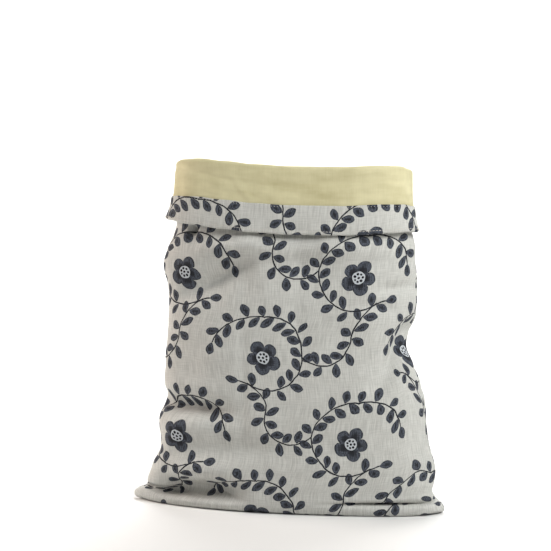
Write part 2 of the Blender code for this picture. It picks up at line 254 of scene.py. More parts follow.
def soft_step(low, high, value):
    """0 below low and 1 above high, with a smooth rise between."""
    t = np.clip((value - low) / (high - low), 0.0, 1.0)
    return t * t * (3 - 2 * t)


def rim_rise(place):
    """How far the mouth's edge is above MOUTH_Z at these places across the bag."""
    rise = np.full(np.shape(place), RIM[-1][1])
    for (x0, rise0), (x1, rise1) in reversed(list(zip(RIM, RIM[1:]))):
        rise = np.where(place <= x1, rise0 + (rise1 - rise0) * soft_step(x0, x1, place), rise)
    return rise


def uneven(x, z, length, seed):
    """Smooth waves in all directions, of about this length and mostly from -1 to 1, the same each run."""
    draw = np.random.default_rng(seed)
    total = np.zeros(np.shape(x))
    for _ in range(WAVES_IN_NOISE):
        heading = draw.uniform(0, math.tau)
        wave = length * draw.uniform(*WAVE_SPREAD)
        phase = draw.uniform(0, math.tau)
        total += np.sin((x * math.cos(heading) + z * math.sin(heading)) * math.tau / wave + phase)
    return total / math.sqrt(WAVES_IN_NOISE)


def level_outline(left, right, front, back, left_square, right_square):
    """The row's outline seen from above: COLUMNS steps along the front, then as many along the back."""
    turn = np.linspace(0, math.pi, OUTLINE_SAMPLES + 1)
    square = left_square + (right_square - left_square) * (1 - np.cos(turn)) / 2
    run = -np.sign(np.cos(turn)) * np.abs(np.cos(turn)) ** (2 / square)
    bow = np.abs(np.sin(turn)) ** (2 / square) * (1 - SKEW * run)
    x = (right - left) / 2 + (left + right) / 2 * run
    sides = []
    for face, depth in ((-1, front), (1, back)):
        y = face * depth * bow
        walked = np.concatenate(([0.0], np.cumsum(np.hypot(np.diff(x), np.diff(y)))))
        goals = walked[-1] * SIDE_SHARES
        sides.append(np.column_stack((np.interp(goals, walked, x), np.interp(goals, walked, y))))
    return np.vstack((sides[0][:-1], sides[1][:0:-1]))


def across(x, left, right):
    """Where x lies between the side seams: -1 at the left one, 1 at the right one."""
    return np.clip((2 * x + left - right) / (left + right), -1.0, 1.0)


def level_normals(outline):
    """Unit steps level and square to the outline, out of the bag."""
    run = np.roll(outline, -1, axis=0) - np.roll(outline, 1, axis=0)
    run /= np.maximum(np.linalg.norm(run, axis=1, keepdims=True), SHORTEST)
    return np.column_stack((run[:, 1], -run[:, 0]))


def between_rows(table):
    """The table's rows, with as many more on a smooth curve between them as leave at most a step."""
    table = np.array(table)
    slopes = np.gradient(table, axis=0)
    rows = []
    for i in range(len(table) - 1):
        middle_z, front = table[i:i + 2, 4], table[i:i + 2, 5]
        in_roll = 0.0 < middle_z[1] < LOW_ROWS and front[0] > LOW_ROWS_FRONT
        step = LOW_ROW_STEP if in_roll else ROW_STEP
        count = math.ceil(math.hypot(middle_z[1] - middle_z[0], front[1] - front[0]) / step)
        for t in np.arange(count) / count:
            start, end = (1 + 2 * t) * (1 - t) ** 2, t * t * (3 - 2 * t)
            start_slope, end_slope = t * (1 - t) ** 2, t * t * (t - 1)
            row = table[i] * start + table[i + 1] * end
            rows.append(row + slopes[i] * start_slope + slopes[i + 1] * end_slope)
    rows.append(table[-1])
    return rows


def wall_rows():
    """Rows of points from the bottom seam to just under the mouth, before the folds are pressed in."""
    rows = []
    for left, left_z, right, right_z, middle_z, front, back, *squares, reach in between_rows(ROWS):
        outline = level_outline(left, right, max(front, 0.0), max(back, 0.0), *squares)
        place = across(outline[:, 0], left, right)
        side_z = np.where(place < 0, left_z, right_z)
        z = middle_z + (side_z - middle_z) * np.abs(place) ** reach
        z += rim_rise(place) * soft_step(*RIM_FADE, z)
        rows.append(np.column_stack((outline[:, 0], outline[:, 1] + SEAM_Y, z)))
    return rows


def cuff_rows(steps):
    """Rows over the mouth's fold and beyond, each from a (distance out, height, share of the drop)."""
    outline = level_outline(*TOP)
    place = across(outline[:, 0], TOP[0], TOP[1])
    out_of_bag = level_normals(outline)
    round_bag = outline[:, 0] + CUFF_WAVE_TURN * outline[:, 1]
    flare = np.where(place < 0, FLARE_LEFT, FLARE_RIGHT) * np.abs(place) ** FLARE_REACH
    lift = np.where(place < 0, LIFT_LEFT, LIFT_RIGHT) * np.abs(place) ** LIFT_REACH
    rows = []
    for out, height, share in steps:
        wave = np.zeros(len(outline))
        for k, (length, rise) in enumerate(CUFF_WAVES):
            wave += rise * uneven(round_bag, np.full(len(outline), height), length, CUFF_SEED + k)
        distance = out + share * CUFF_OPENING + share ** 4 * flare + math.sqrt(share) * wave
        z = height + rim_rise(place) + share ** 2 * lift
        distance -= pressed(np.column_stack((outline, z))[None], CUFF_FOLDS)[0]
        moved = outline + out_of_bag * distance[:, None]
        rows.append(np.column_stack((moved[:, 0], moved[:, 1] + SEAM_Y, z)))
    return rows


def turn_steps(centre_out, centre_z, radius, start, count, share):
    """Half a turn about a level line from its inner side, over the top (start 0) or under it (180)."""
    turned = np.linspace(0, math.pi, count + 1)
    outs = centre_out - radius * np.cos(turned)
    heights = centre_z + radius * np.sin(turned + math.radians(start))
    return [(out, height, share) for out, height in zip(outs, heights)]


def grid_normals(points):
    """Unit normals of a grid of points closed round its rows, pointing out of the bag at the wall."""
    round_step = np.roll(points, -1, axis=1) - np.roll(points, 1, axis=1)
    up_step = np.gradient(points, axis=0)
    normals = np.cross(round_step, up_step)
    return normals / np.maximum(np.linalg.norm(normals, axis=2, keepdims=True), SHORTEST)


def pressed(points, folds):
    """How deep these folds press each point of the wall in."""
    x, z = points[..., 0], points[..., 2]
    on_front = np.broadcast_to(np.arange(points.shape[1]) <= COLUMNS, x.shape)
    depth = np.zeros(x.shape)
    for face, fold_x, fold_z, length, height, tilt, fold in folds:
        turn = math.radians(tilt)
        along = (x - fold_x) * math.cos(turn) + (z - fold_z) * math.sin(turn)
        over = (z - fold_z) * math.cos(turn) - (x - fold_x) * math.sin(turn)
        there = on_front == (face < 0)
        shape = np.exp(-(np.abs(along / length) ** 3) - (over / height) ** 2)
        depth += np.where(there, fold * shape, 0.0)
    return depth


def tucked(points):
    """How deep the tucks press each point of the wall in."""
    x, z = points[..., 0], points[..., 2]
    on_front = np.broadcast_to(np.arange(points.shape[1]) <= COLUMNS, x.shape)
    depth = np.zeros(x.shape)
    for face, tuck_x, length, in_from, in_to, out_from, out_to, tuck in TUCKS:
        lean = (1 - soft_step(in_to, in_from, z)) * soft_step(out_to, out_from, z)
        there = on_front == (face < 0)
        shape = lean * np.exp(-(np.abs((x - tuck_x) / length) ** 4))
        depth += np.where(there, tuck * shape, 0.0)
    return depth


def wall_depth(points):
    """How deep folds, creases, seams and the cloth's own unevenness press each point of the wall in."""
    x, z = points[..., 0], points[..., 2]
    column = np.arange(points.shape[1])
    on_front = np.broadcast_to(column <= COLUMNS, x.shape)
    depth = pressed(points, FOLDS + CREASES) + tucked(points)
    for k, (length, height) in enumerate(WALL_WAVES):
        front_wave, back_wave = uneven(x, z, length, FRONT_SEED + k), uneven(x, z, length, BACK_SEED + k)
        depth += height * np.where(on_front, front_wave, back_wave)
    off_seam = np.minimum(SIDE_SHARES, 1 - SIDE_SHARES)[column % COLUMNS] * CUT_WIDTH
    at_seam = np.exp(-((off_seam / SEAM_STRIP) ** 2))
    sink, reach = SEAM_SINK
    pucker, pucker_length, pucker_reach = PUCKER
    depth = depth * (1 - at_seam)
    depth += sink * np.exp(-((off_seam / reach) ** 2))
    puckered = uneven(x * PUCKER_TURN, z, pucker_length, PUCKER_SEED)
    depth += pucker * np.exp(-((off_seam / pucker_reach) ** 2)) * puckered * (1 - at_seam)
    return depth


def sack(with_hem):
    """The grid of points of a whole sack, with its hem or, as the lining, ending under it. Then two plainer
    ones, to lay the print out across and up: with the sharp creases alone, and with the tucks too. Last, the
    number of the row on top of the mouth's fold."""
    fold_z = MOUTH_Z - TURN_RADIUS - LINING_DEPTH - LINING_THICK / 2
    low_z = MOUTH_Z - CUFF_DROP + HEM_RADIUS + OUTER_THICK / 2
    cuff_out = 2 * TURN_RADIUS
    smooth = np.array(wall_rows())
    normals = grid_normals(smooth)
    clear = soft_step(*FOLDS_FROM, smooth[..., 2]) * (1 - soft_step(*FOLDS_TO, smooth[..., 2]))
    wall = smooth - normals * (wall_depth(smooth) * clear)[..., None]
    creased = smooth - normals * (pressed(smooth, CREASES) * clear)[..., None]
    gathered = creased - normals * (tucked(smooth) * clear)[..., None]
    steps = turn_steps(TURN_RADIUS, fold_z, TURN_RADIUS, 0, TURN_STEPS, 0.0)
    last_z = low_z if with_hem else low_z + LINING_TUCK
    count = math.ceil((fold_z - last_z) / ROW_STEP)
    for z in np.linspace(fold_z, last_z, count + 1)[1:]:
        steps.append((cuff_out, z, (fold_z - z) / (fold_z - low_z)))
    if with_hem:
        steps += turn_steps(cuff_out + HEM_RADIUS, low_z, HEM_RADIUS, 180, TURN_STEPS, 1.0)[1:]
        hem_out = cuff_out + 2 * HEM_RADIUS
        edge_z = low_z + HEM_RISE
        last_even = edge_z - HEM_EDGE[0][0]
        count = math.ceil((last_even - low_z) / HEM_STEP)
        for z in np.linspace(low_z, last_even, count + 1)[1:-1]:
            off_stitches = z - STITCH_RISE - MOUTH_Z + CUFF_DROP
            sink = STITCH_SINK * math.exp(-((off_stitches / STITCH_REACH) ** 2))
            steps.append((hem_out - sink, z, (fold_z - z) / (fold_z - low_z)))
        for under, inward in HEM_EDGE:
            steps.append((hem_out - inward, edge_z - under, (fold_z - edge_z + under) / (fold_z - low_z)))
    cuff = np.array(cuff_rows(steps))
    sheets = [np.vstack((sheet, cuff)) for sheet in (wall, creased, gathered)]
    return *sheets, len(wall) + TURN_STEPS // 2


def cloth_places(laid_across, laid_up, mouth_row):
    """Where each point lies on the flat cloth: across from its side's middle, up from the bottom seam."""
    rows, ring = laid_across.shape[:2]
    round_step = np.linalg.norm(np.roll(laid_across, -1, axis=1) - laid_across, axis=2)
    walked = np.concatenate((np.zeros((rows, 1)), np.cumsum(round_step, axis=1)), axis=1)
    front_middle = COLUMNS // 2
    u = np.zeros((rows, ring))
    u[:, :COLUMNS + 1] = walked[:, :COLUMNS + 1] - walked[:, front_middle:front_middle + 1]
    back_middle = COLUMNS + COLUMNS // 2
    u[:, COLUMNS + 1:] = walked[:, COLUMNS + 1:ring] - walked[:, back_middle:back_middle + 1]
    up_step = np.linalg.norm(np.diff(laid_up, axis=0), axis=2)
    v = np.concatenate((np.zeros((1, ring)), np.cumsum(up_step, axis=0)), axis=0)
    v += CUT_TO_MOUTH - v[mouth_row]
    return u, v


# Where a flower lies on the cloth, how far the print leans and rises, and how much cloth the steep creases
# in the waist take up: over which places across it sets in, at what height and over what reach.
FLOWER_AT = (0.0701, 0.2631)
PRINT_LEAN, PRINT_RISE = 0.055, 0.033
TAKEN_UP, TAKEN_FROM = 0.022, (0.098, 0.122)
TAKEN_AT, TAKEN_REACH = 0.186, 0.055
EARS_TAKEN = (
    # across, from none to all; up, from none to all; the length of cloth that the crease there takes up
    (-0.158, -0.182, -0.2185, -0.2265, 0.021),
    (0.006, 0.034, -0.2205, -0.2325, -0.028),
)


def print_places(points, places):
    """The cloth's places as the print lies on them: set off the middle, a little aslant, and moved on by
    the cloth that the steep creases on the right and over the ears take up."""
    u, v = places
    on_front = np.arange(points.shape[1]) <= COLUMNS
    near_waist = np.exp(-(((v - TAKEN_AT) / TAKEN_REACH) ** 2))
    taken = TAKEN_UP * soft_step(*TAKEN_FROM, u) * near_waist * on_front
    u, v = u - FLOWER_AT[0], v - FLOWER_AT[1]
    u, v = u - PRINT_LEAN * v + taken, v - PRINT_RISE * u
    hidden = sum(
        length * soft_step(none_u, all_u, u) * soft_step(none_v, all_v, v)
        for none_u, all_u, none_v, all_v, length in EARS_TAKEN
    )
    return u, v - hidden * on_front


def panel_mesh(name, points, places, face):
    """The front (-1) or back (1) half of a sack, a sheet that carries its places on the flat cloth."""
    ring = points.shape[1]
    columns = np.arange(COLUMNS + 1) if face < 0 else (COLUMNS + np.arange(COLUMNS + 1)) % ring
    part = points[:, columns].copy()
    part[:, (0, -1), 1] += face * SEAM_GAP / 2
    part[0, :, 1] += face * SEAM_GAP / 2
    rows, width = part.shape[:2]
    index = np.arange(rows * width).reshape(rows, width)
    corners = (index[:-1, :-1], index[:-1, 1:], index[1:, 1:], index[1:, :-1])
    faces = np.stack(corners, axis=-1).reshape(-1, 4)
    mesh = bpy.data.meshes.new(name)
    mesh.from_pydata(part.reshape(-1, 3).tolist(), [], faces.tolist())
    u, v = (place[:, columns] for place in places)
    if face > 0:
        u = u.copy()
        u[:, -1] = 2 * u[:, -2] - u[:, -3]
        u[:, 0] = 2 * u[:, 1] - u[:, 2]
    flat = np.stack((u, v, np.zeros(u.shape)), axis=-1)
    attribute = mesh.attributes.new("cloth", "FLOAT_VECTOR", "POINT")
    attribute.data.foreach_set("vector", flat.reshape(-1).astype(np.float32))
    mesh.shade_smooth()
    return mesh


def add_object(name, data):
    """A new object in the scene."""
    made = bpy.data.objects.new(name, data)
    bpy.context.scene.collection.objects.link(made)
    return made


def cloth_piece(name, mesh, material, thickness):
    """A panel with its cloth's thickness, half on either side of the sheet."""
    piece = add_object(name, mesh)
    mesh.materials.append(material)
    solid = piece.modifiers.new("thickness", "SOLIDIFY")
    solid.thickness = thickness
    solid.offset = 0.0
    return piece


def new_material(name, roughness):
    """A material, its node tree and the inputs of its shader."""
    material = bpy.data.materials.new(name)
    material.use_nodes = True
    shader = material.node_tree.nodes["Principled BSDF"].inputs
    shader["Roughness"].default_value = roughness
    return material, material.node_tree, shader


def put(tree, kind, inputs=(), **settings):
    """A shader node with these settings, its inputs fed in order by numbers or by other nodes' sockets."""
    made = tree.nodes.new(kind)
    for name, value in settings.items():
        setattr(made, name, value)
    for socket, value in zip(made.inputs, inputs):
        if isinstance(value, bpy.types.NodeSocket):
            tree.links.new(value, socket)
        elif value is not None:
            socket.default_value = value
    return made


def calc(tree, operation, *inputs):
    """The result of a Math node."""
    return put(tree, "ShaderNodeMath", inputs, operation=operation).outputs[0]


def vector(tree, operation, *inputs):
    """The result of a Vector Math node."""
    return put(tree, "ShaderNodeVectorMath", inputs, operation=operation).outputs["Vector"]


def new_group(name, inputs, outputs):
    """A shader node group with these sockets, given as (name, kind), and its input and output nodes."""
    group = bpy.data.node_groups.new(name, "ShaderNodeTree")
    for way, sockets in (("INPUT", inputs), ("OUTPUT", outputs)):
        for socket, kind in sockets:
            group.interface.new_socket(socket, in_out=way, socket_type="NodeSocket" + kind)
    return group, group.nodes.new("NodeGroupInput").outputs, group.nodes.new("NodeGroupOutput").inputs


def blend(tree, factor, first, second):
    """A mix of two colours."""
    mix = put(tree, "ShaderNodeMix", (factor,), data_type="RGBA")
    for socket, value in zip(mix.inputs[6:8], (first, second)):
        if isinstance(value, bpy.types.NodeSocket):
            tree.links.new(value, socket)
        else:
            socket.default_value = value
    return mix.outputs[2]


def noise(tree, place, scale, detail):
    """The outputs of a noise of this many waves a metre, its values mostly from 0.3 to 0.7."""
    made = put(tree, "ShaderNodeTexNoise", (place,))
    made.inputs["Scale"].default_value = scale
    made.inputs["Detail"].default_value = detail
    return made.outputs


def bumped(tree, height, strength, distance, under=None):
    """The normal of a surface with these heights, on top of another normal or of the plain mesh."""
    made = put(tree, "ShaderNodeBump")
    made.inputs["Strength"].default_value = strength
    made.inputs["Distance"].default_value = distance
    tree.links.new(height, made.inputs["Height"])
    if under is not None:
        tree.links.new(under, made.inputs["Normal"])
    return made.outputs["Normal"]


# The weave of a plain cloth: thick and thin threads both ways, as a tone about 0 and as a height.
weave, given, result = new_group(
    "weave", [("Cloth", "Vector"), ("Threads Per Metre", "Float")], [("Tone", "Float"), ("Height", "Float")]
)
WARP_STRETCH, WEFT_STRETCH = (1150.0, 60.0, 1.0), (70.0, 1250.0, 1.0)
WEFT_SHARE, CROSSING_RISE = 0.55, 0.25
streaks = []
for stretch in (WARP_STRETCH, WEFT_STRETCH):
    stretched = vector(weave, "MULTIPLY", given["Cloth"], stretch)
    streaks.append(calc(weave, "SUBTRACT", noise(weave, stretched, scale=1.0, detail=2.0)["Fac"], 0.5))
warp, weft = streaks
tone = calc(weave, "MULTIPLY_ADD", weft, WEFT_SHARE, warp)
counted = put(weave, "ShaderNodeVectorMath", (given["Cloth"],), operation="SCALE")
weave.links.new(calc(weave, "MULTIPLY", given["Threads Per Metre"], math.pi), counted.inputs["Scale"])
beats = put(weave, "ShaderNodeSeparateXYZ", (counted.outputs["Vector"],)).outputs
crossing = calc(weave, "MULTIPLY", calc(weave, "SINE", beats["X"]), calc(weave, "SINE", beats["Y"]))
weave.links.new(tone, result["Tone"])
weave.links.new(calc(weave, "MULTIPLY_ADD", crossing, CROSSING_RISE, tone), result["Height"])

# The print repeats over the cloth, with a second, mirrored flower in the gap between every four.
REPEAT_ACROSS, REPEAT_UP = 0.168, 0.1575
SECOND_OFF = (0.0825, 0.0750, 0.0)
HALF_REPEAT = (REPEAT_ACROSS / 2, REPEAT_UP / 2, 1.0)
LESS_HALF_REPEAT = (-REPEAT_ACROSS / 2, -REPEAT_UP / 2, -1.0)


def from_centre(group, cloth, centre):
    """Distance and direction of the cloth's place from the nearest of the motif's repeats."""
    off = vector(group, "WRAP", vector(group, "SUBTRACT", cloth, centre), HALF_REPEAT, LESS_HALF_REPEAT)
    distance = put(group, "ShaderNodeVectorMath", (off,), operation="LENGTH").outputs["Value"]
    parts = put(group, "ShaderNodeSeparateXYZ", (off,)).outputs
    return distance, calc(group, "ARCTAN2", parts["Y"], parts["X"])


# A leaf's outline: how pointed it is, its width at the foot and how much wider than that it gets.
LEAF_POINT = 1.35
LEAF_FOOT, LEAF_WIDENS = 0.83, 0.34


def egg(group, along, aside, length, half_width):
    """Ink of a leaf, 0 at its rim and 1 in its middle, with its narrow end at the stem."""
    share = calc(group, "DIVIDE", along, length)
    width = calc(group, "MULTIPLY", calc(group, "MULTIPLY_ADD", share, LEAF_WIDENS, LEAF_FOOT), half_width)
    lengthwise = calc(group, "MULTIPLY_ADD", share, 2.0, -1.0)
    crosswise = calc(group, "DIVIDE", aside, width)
    crosswise = calc(group, "POWER", calc(group, "ABSOLUTE", crosswise), LEAF_POINT)
    squares = calc(group, "ADD", calc(group, "POWER", lengthwise, 2.0), crosswise)
    return calc(group, "MAXIMUM", calc(group, "SUBTRACT", 1.0, calc(group, "SQRT", squares)), 0.0)


# A vine: a stem on an arc, from a start over a sweep, with pairs of leaves, and at its end a leaf or none.
LEAF_LONG, LEAF_HALF = 0.0126, 0.0038
STEM_HALF, STEM_INK = 0.00068, 0.8
STALK = 0.0010
LEAF_TILT, LEAF_TILT_SPREAD = 0.95, 0.35
LEAF_SIZE, LEAF_SIZE_SPREAD = 1.0, 0.16
PAIR_SHIFT, PAIR_FOOT = 0.13, 0.2
BEFORE_START = 0.35
vine, given, result = new_group(
    "vine",
    [("Cloth", "Vector"), ("Centre", "Vector"), ("Radius", "Float"), ("Start", "Float"),
     ("Sweep", "Float"), ("Pairs", "Float"), ("Left Out", "Float"), ("Tip", "Float")],
    [("Ink", "Float")],
)
distance, heading = from_centre(vine, given["Cloth"], given["Centre"])
sense = calc(vine, "SIGN", given["Sweep"])
turned = calc(vine, "MULTIPLY", calc(vine, "SUBTRACT", heading, given["Start"]), sense)
turned = calc(vine, "WRAP", turned, math.tau - BEFORE_START, -BEFORE_START)
whole = calc(vine, "ABSOLUTE", given["Sweep"])
side = calc(vine, "SUBTRACT", distance, given["Radius"])
hand = calc(vine, "SIGN", side)
past_start = calc(vine, "GREATER_THAN", turned, 0.0)
before_end = calc(vine, "LESS_THAN", turned, whole)
near_arc = calc(vine, "LESS_THAN", calc(vine, "ABSOLUTE", side), STEM_HALF)
on_stem = calc(vine, "MULTIPLY", calc(vine, "MULTIPLY", past_start, before_end), near_arc)
pitch = calc(vine, "DIVIDE", whole, given["Pairs"])
shifted = calc(vine, "MULTIPLY_ADD", hand, PAIR_SHIFT, calc(vine, "DIVIDE", turned, pitch))


def from_foot(foot):
    """How far the place is along the stem and away from it, seen from a foot on the arc."""
    off = calc(vine, "SUBTRACT", turned, foot)
    along = calc(vine, "MULTIPLY", distance, calc(vine, "SINE", off))
    outward = calc(vine, "MULTIPLY", distance, calc(vine, "COSINE", off))
    return along, calc(vine, "SUBTRACT", outward, given["Radius"])


def leaf_ink(number):
    """Ink of the leaf of this number, on the side of the stem where the place is."""
    not_left_out = calc(vine, "GREATER_THAN", number, calc(vine, "SUBTRACT", given["Left Out"], 0.5))
    on_vine = calc(vine, "LESS_THAN", number, calc(vine, "SUBTRACT", given["Pairs"], 0.5))
    foot = calc(vine, "ADD", number, calc(vine, "MULTIPLY_ADD", hand, -PAIR_SHIFT, PAIR_FOOT))
    along, away = from_foot(calc(vine, "MULTIPLY", foot, pitch))
    away = calc(vine, "MULTIPLY", away, hand)
    label = put(vine, "ShaderNodeCombineXYZ", (number, hand, given["Radius"])).outputs[0]
    dice = put(vine, "ShaderNodeTexWhiteNoise", (label,), noise_dimensions="3D").outputs["Color"]
    chance = put(vine, "ShaderNodeSeparateColor", (dice,)).outputs
    tilt = calc(vine, "MULTIPLY_ADD", chance["Red"], LEAF_TILT_SPREAD, LEAF_TILT - LEAF_TILT_SPREAD / 2)
    size = calc(vine, "MULTIPLY_ADD", chance["Green"], LEAF_SIZE_SPREAD, LEAF_SIZE - LEAF_SIZE_SPREAD / 2)
    cosine, sine = calc(vine, "COSINE", tilt), calc(vine, "SINE", tilt)
    outward = calc(vine, "MULTIPLY_ADD", along, cosine, calc(vine, "MULTIPLY", away, sine))
    leaned = calc(vine, "MULTIPLY", along, sine)
    aside = calc(vine, "SUBTRACT", calc(vine, "MULTIPLY", away, cosine), leaned)
    leaf = egg(vine, calc(vine, "SUBTRACT", outward, STALK), aside,
               calc(vine, "MULTIPLY", size, LEAF_LONG), calc(vine, "MULTIPLY", size, LEAF_HALF))
    return calc(vine, "MULTIPLY", leaf, calc(vine, "MULTIPLY", not_left_out, on_vine))


nearest = calc(vine, "FLOOR", shifted)
ink = calc(vine, "MAXIMUM", leaf_ink(nearest), leaf_ink(calc(vine, "SUBTRACT", nearest, 1.0)))
ink = calc(vine, "MAXIMUM", ink, calc(vine, "MULTIPLY", on_stem, STEM_INK))
tip = calc(vine, "MULTIPLY", egg(vine, *from_foot(whole), LEAF_LONG, LEAF_HALF), given["Tip"])
vine.links.new(calc(vine, "MAXIMUM", ink, tip), result["Ink"])

# A flower: five round petals about a pale disc with a dark dot and a ring of dots.
PETALS, PETAL_OUT, PETAL_RADIUS = 5, 0.0097, 0.0067
CORE_OUT, CORE_RADIUS = 0.0070, 0.0048
PETAL_INK, CORE_INK, HEART_INK = 0.38, 0.9, 1.6
DISC_RADIUS, DOT_RADIUS = 0.0060, 0.00118
RING_DOTS, RING_RADIUS = 7, 0.0037
SPOT_LEAST, SPOT_SPREAD = 0.89, 0.22
FLOWER_SPIN = 1.08
NO_INK = 0.001
flower, given, result = new_group("flower", [("Cloth", "Vector")], [("Ink", "Float"), ("Disc", "Float")])
distance, heading = from_centre(flower, given["Cloth"], (0.0, 0.0, 0.0))


def round_spots(count, out, radius, spin):
    """Ink of round spots in a ring about the flower's middle, 0 at a spot's rim."""
    step = math.tau / count
    turned = calc(flower, "DIVIDE", calc(flower, "SUBTRACT", heading, spin), step)
    number = calc(flower, "ROUND", turned)
    turned = calc(flower, "MULTIPLY", calc(flower, "SUBTRACT", turned, number), step)
    x = calc(flower, "SUBTRACT", calc(flower, "MULTIPLY", distance, calc(flower, "COSINE", turned)), out)
    y = calc(flower, "MULTIPLY", distance, calc(flower, "SINE", turned))
    number = calc(flower, "FLOORED_MODULO", number, float(count))
    dice = put(flower, "ShaderNodeTexWhiteNoise", (None, number), noise_dimensions="1D").outputs["Value"]
    size = calc(flower, "MULTIPLY", calc(flower, "MULTIPLY_ADD", dice, SPOT_SPREAD, SPOT_LEAST), radius)
    squares = calc(flower, "ADD", calc(flower, "POWER", x, 2.0), calc(flower, "POWER", y, 2.0))
    share = calc(flower, "DIVIDE", calc(flower, "SQRT", squares), size)
    return calc(flower, "MAXIMUM", calc(flower, "SUBTRACT", 1.0, share), 0.0)


petals = round_spots(PETALS, PETAL_OUT, PETAL_RADIUS, FLOWER_SPIN)
heart = calc(flower, "MULTIPLY_ADD", distance, -HEART_INK / PETAL_OUT, HEART_INK)
cores = round_spots(PETALS, CORE_OUT, CORE_RADIUS, FLOWER_SPIN)
cores = calc(flower, "MULTIPLY", calc(flower, "SIGN", cores),
             calc(flower, "MULTIPLY_ADD", cores, CORE_INK, PETAL_INK))
petals = calc(flower, "MAXIMUM", calc(flower, "MINIMUM", petals, PETAL_INK), cores)
middle_dot = calc(flower, "LESS_THAN", distance, DOT_RADIUS)
dots = calc(flower, "MAXIMUM", round_spots(RING_DOTS, RING_RADIUS, DOT_RADIUS, 0.0), middle_dot)
in_disc = calc(flower, "LESS_THAN", distance, DISC_RADIUS)
flower.links.new(calc(flower, "MAXIMUM", petals, calc(flower, "MAXIMUM", heart, 0.0)), result["Ink"])
between_dots = calc(flower, "LESS_THAN", dots, NO_INK)
flower.links.new(calc(flower, "MULTIPLY", in_disc, between_dots), result["Disc"])

# One flower with its vines, laid out about the flower's middle. The angles are in degrees, and part of a
# pair of leaves is bare stem.
VINES = (
    # centre across, centre up, radius, start, sweep, pairs of leaves, first ones left out, tip leaf
    (-0.002, 0.004, 0.0350, 304, -222, 10, 2, 0),
    (0.010, -0.001, 0.0400, 101, -84, 4, 0, 1),
    (0.030, -0.053, 0.0300, 186, -88, 3, 0, 1),
    (-0.0265, -0.0560, 0.0265, 0, -135, 4.49, 0, 0),
)
motif, given, result = new_group("motif", [("Cloth", "Vector")], [("Ink", "Float"), ("Disc", "Float")])
bloom = put(motif, "ShaderNodeGroup", (given["Cloth"],), node_tree=flower).outputs
ink = bloom["Ink"]
for x, y, radius, start, sweep, *leaves in VINES:
    arc = (given["Cloth"], (x, y, 0.0), radius, math.radians(start), math.radians(sweep), *leaves)
    trail = put(motif, "ShaderNodeGroup", arc, node_tree=vine)
    ink = calc(motif, "MAXIMUM", ink, trail.outputs["Ink"])
motif.links.new(ink, result["Ink"])
motif.links.new(bloom["Disc"], result["Disc"])

# The printed linen: the weave's tones, then the ink, darkest at a shape's rim and core and thin between.
LINEN_PALE, LINEN_DARK = (0.590, 0.592, 0.560, 1), (0.450, 0.452, 0.426, 1)
WEAVE_CONTRAST = 3.2
INK_WEAVE = 1.7
INK_TONES = (
    # share from the rim to the middle, colour
    (0.00, (0.024, 0.027, 0.036, 1)),
    (0.12, (0.028, 0.032, 0.042, 1)),
    (0.26, (0.088, 0.102, 0.132, 1)),
    (0.42, (0.048, 0.055, 0.072, 1)),
    (0.58, (0.020, 0.023, 0.031, 1)),
    (1.00, (0.009, 0.010, 0.015, 1)),
)
DISC_COLOUR = (0.50, 0.53, 0.56, 1)
SHAKE_SCALE, SHAKE = 120.0, 0.0020
CLOUD_SCALE, CLOUD = 22.0, 0.22
LINEN_THREADS, LINEN_BUMP, LINEN_RELIEF = 1300.0, 0.35, 0.0004
LINEN_ROUGHNESS = 0.92

printed_linen, tree, shader = new_material("printed_linen", LINEN_ROUGHNESS)
cloth = put(tree, "ShaderNodeAttribute", attribute_name="cloth").outputs["Vector"]
threads = put(tree, "ShaderNodeGroup", (cloth, LINEN_THREADS), node_tree=weave).outputs
shake = vector(tree, "SUBTRACT", noise(tree, cloth, SHAKE_SCALE, detail=1.0)["Color"], (0.5, 0.5, 0.5))
drawn = vector(tree, "ADD", cloth, vector(tree, "MULTIPLY", shake, (SHAKE, SHAKE, 0.0)))
drawn = vector(tree, "MULTIPLY", drawn, (1.0, 1.0, 0.0))
mirrored = vector(tree, "MULTIPLY", vector(tree, "ADD", drawn, SECOND_OFF), (-1.0, 1.0, 0.0))
one = put(tree, "ShaderNodeGroup", (drawn,), node_tree=motif).outputs
other = put(tree, "ShaderNodeGroup", (mirrored,), node_tree=motif).outputs
ink = calc(tree, "MAXIMUM", one["Ink"], other["Ink"])
disc = calc(tree, "MAXIMUM", one["Disc"], other["Disc"])
cloud = calc(tree, "SUBTRACT", noise(tree, cloth, CLOUD_SCALE, detail=3.0)["Fac"], 0.5)
clouded = calc(tree, "MULTIPLY_ADD", cloud, CLOUD, 0.5)
linen_tone = calc(tree, "MULTIPLY_ADD", threads["Tone"], WEAVE_CONTRAST, clouded)
linen = blend(tree, linen_tone, LINEN_PALE, LINEN_DARK)
ramp = put(tree, "ShaderNodeValToRGB", (calc(tree, "MULTIPLY_ADD", threads["Tone"], INK_WEAVE, ink),))
ramp.color_ramp.elements[0].position, ramp.color_ramp.elements[0].color = INK_TONES[0]
ramp.color_ramp.elements[1].position, ramp.color_ramp.elements[1].color = INK_TONES[-1]
for position, colour in INK_TONES[1:-1]:
    ramp.color_ramp.elements.new(position).color = colour
printed = blend(tree, calc(tree, "GREATER_THAN", ink, 0.0), linen, ramp.outputs["Color"])
tree.links.new(blend(tree, disc, printed, DISC_COLOUR), shader["Base Color"])
tree.links.new(bumped(tree, threads["Height"], LINEN_BUMP, LINEN_RELIEF), shader["Normal"])

outer_points, *outer_laid, outer_mouth = sack(with_hem=True)
outer_places = cloth_places(*outer_laid, outer_mouth)
for name, node, face in (("bag_front", "front_panel", -1), ("bag_back", "back_panel", 1)):
    mesh = panel_mesh(name, outer_points, print_places(outer_points, outer_places), face)
    panel = cloth_piece(name, mesh, printed_linen, OUTER_THICK)
    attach(panel, "root")
    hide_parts(node)


